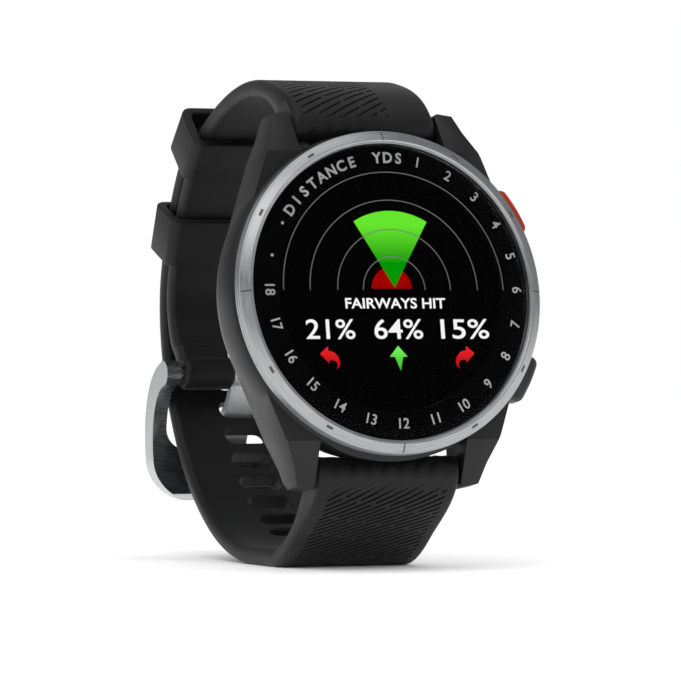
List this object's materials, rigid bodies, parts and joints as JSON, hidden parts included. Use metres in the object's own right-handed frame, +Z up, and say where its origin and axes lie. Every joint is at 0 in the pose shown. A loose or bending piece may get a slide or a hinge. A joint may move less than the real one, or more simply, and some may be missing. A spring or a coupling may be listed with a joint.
{
  "type": "golf gps watch",
  "caption": "Round-cased golf GPS watch with a brushed metal bezel, two push buttons and a two-piece rubber strap closed by a pin buckle and loose keepers.",
  "frame": {"origin": "centre of the flat underside of the lower strap, on which the buckled watch stands", "axes": "+Z up, +X towards three o'clock, -Y the way the face looks, leaning back ten degrees"},
  "size_m": [0.0439, 0.0619, 0.0646],
  "materials": {
    "case_polymer": "moulded fibre-reinforced polymer, fine satin grain, dark grey",
    "brushed_bezel": "steel, front brushed along the ring, inner chamfer polished",
    "cover_glass": "polished toughened glass with a rounded edge",
    "seal": "moulded silicone seal",
    "dial_print": "black printed ring with pale grey numbers",
    "display": "lit colour display behind glass",
    "inner_frame": "moulded glass-filled polymer",
    "flex": "amber polyimide ribbon with copper tracks",
    "board": "green solder mask on laminate",
    "shield": "tinned sheet steel",
    "battery": "aluminium laminate pouch with tape",
    "motor": "drawn steel can",
    "antenna": "copper strip",
    "rear_polymer": "smooth moulded polymer",
    "spring_steel": "drawn stainless steel",
    "strap_rubber": "moulded silicone, matt, slanted broken grooves on the outside",
    "button_red": "orange-red anodised cap",
    "button_black": "satin black cap",
    "buckle_steel": "brushed steel with polished edges",
    "gold": "gold plated contact"
  },
  "bodies": {
    "case": {"case_body": "case_polymer", "bezel_ring": "brushed_bezel", "lens": "cover_glass", "lens_gasket": "seal", "dial_ring": "dial_print", "display_panel": "display", "display_frame": "inner_frame", "display_flex": "flex", "main_board": "board", "shield_can": "shield", "battery": "battery", "vibration_motor": "motor", "gps_antenna": "antenna", "rear_cover": "rear_polymer", "rear_gasket": "seal", "rear_screw_1": "spring_steel", "rear_screw_2": "spring_steel", "rear_screw_3": "spring_steel", "rear_screw_4": "spring_steel", "charge_port": "inner_frame", "charge_contact_1": "gold", "charge_contact_2": "gold", "charge_contact_3": "gold", "charge_contact_4": "gold", "start_switch": "inner_frame", "back_switch": "inner_frame", "start_seal": "seal", "back_seal": "seal", "start_spring": "spring_steel", "back_spring": "spring_steel", "lower_strap": "strap_rubber", "lower_spring_bar": "spring_steel", "lower_bar_spring": "spring_steel"},
    "start_button": {"start_button": "button_red", "start_clip": "spring_steel"},
    "back_button": {"back_button": "button_black", "back_clip": "spring_steel"},
    "upper_strap": {"upper_strap": "strap_rubber", "upper_spring_bar": "spring_steel", "upper_bar_spring": "spring_steel", "buckle_bar": "buckle_steel"},
    "buckle": {"buckle_frame": "buckle_steel"},
    "tongue": {"buckle_tongue": "buckle_steel"},
    "upper_keeper": {"upper_keeper": "strap_rubber"},
    "lower_keeper": {"lower_keeper": "strap_rubber"},
    "upper_release": {"upper_release_pin": "spring_steel"},
    "lower_release": {"lower_release_pin": "spring_steel"}
  },
  "joints": [
    {"name": "start_button_press", "type": "slide", "parent": "case", "child": "start_button", "axis": [-0.866, -0.0868, -0.4924], "range_m": [0, 0.0006], "stiffness_N_per_m": 2000, "springref_m": -0.0004, "deforming": ["start_spring"]},
    {"name": "back_button_press", "type": "slide", "parent": "case", "child": "back_button", "axis": [-0.8746, 0.0842, 0.4774], "range_m": [0, 0.0006], "stiffness_N_per_m": 2000, "springref_m": -0.0004, "deforming": ["back_spring"]},
    {"name": "upper_strap_pivot", "type": "hinge", "parent": "case", "child": "upper_strap", "pos_m": [0, -0.00982, 0.05778], "axis": [1, 0, 0], "range_deg": [-5, 5], "stiffness_Nm_per_rad": 1, "deforming": ["lower_strap"]},
    {"name": "buckle_frame_pivot", "type": "hinge", "parent": "upper_strap", "child": "buckle", "pos_m": [0, 0.029, 0.0252], "axis": [1, 0, 0], "range_deg": [-10, 0]},
    {"name": "tongue_pivot", "type": "hinge", "parent": "upper_strap", "child": "tongue", "pos_m": [0, 0.029, 0.0252], "axis": [1, 0, 0], "range_deg": [0, 4]},
    {"name": "upper_keeper_slide", "type": "hinge", "parent": "upper_strap", "child": "upper_keeper", "pos_m": [0, -0.0049, 0.0291], "axis": [1, 0, 0], "range_deg": [-6, 0]},
    {"name": "lower_keeper_slide", "type": "hinge", "parent": "upper_strap", "child": "lower_keeper", "pos_m": [0, -0.0049, 0.0291], "axis": [1, 0, 0], "range_deg": [-4, 5]},
    {"name": "upper_release_slide", "type": "slide", "parent": "upper_strap", "child": "upper_release", "axis": [1, 0, 0], "range_m": [0, 0.0012], "stiffness_N_per_m": 1500, "springref_m": -0.001, "deforming": ["upper_bar_spring"]},
    {"name": "lower_release_slide", "type": "slide", "parent": "case", "child": "lower_release", "axis": [1, 0, 0], "range_m": [0, 0.0012], "stiffness_N_per_m": 1500, "springref_m": -0.001, "deforming": ["lower_bar_spring"]}
  ]
}
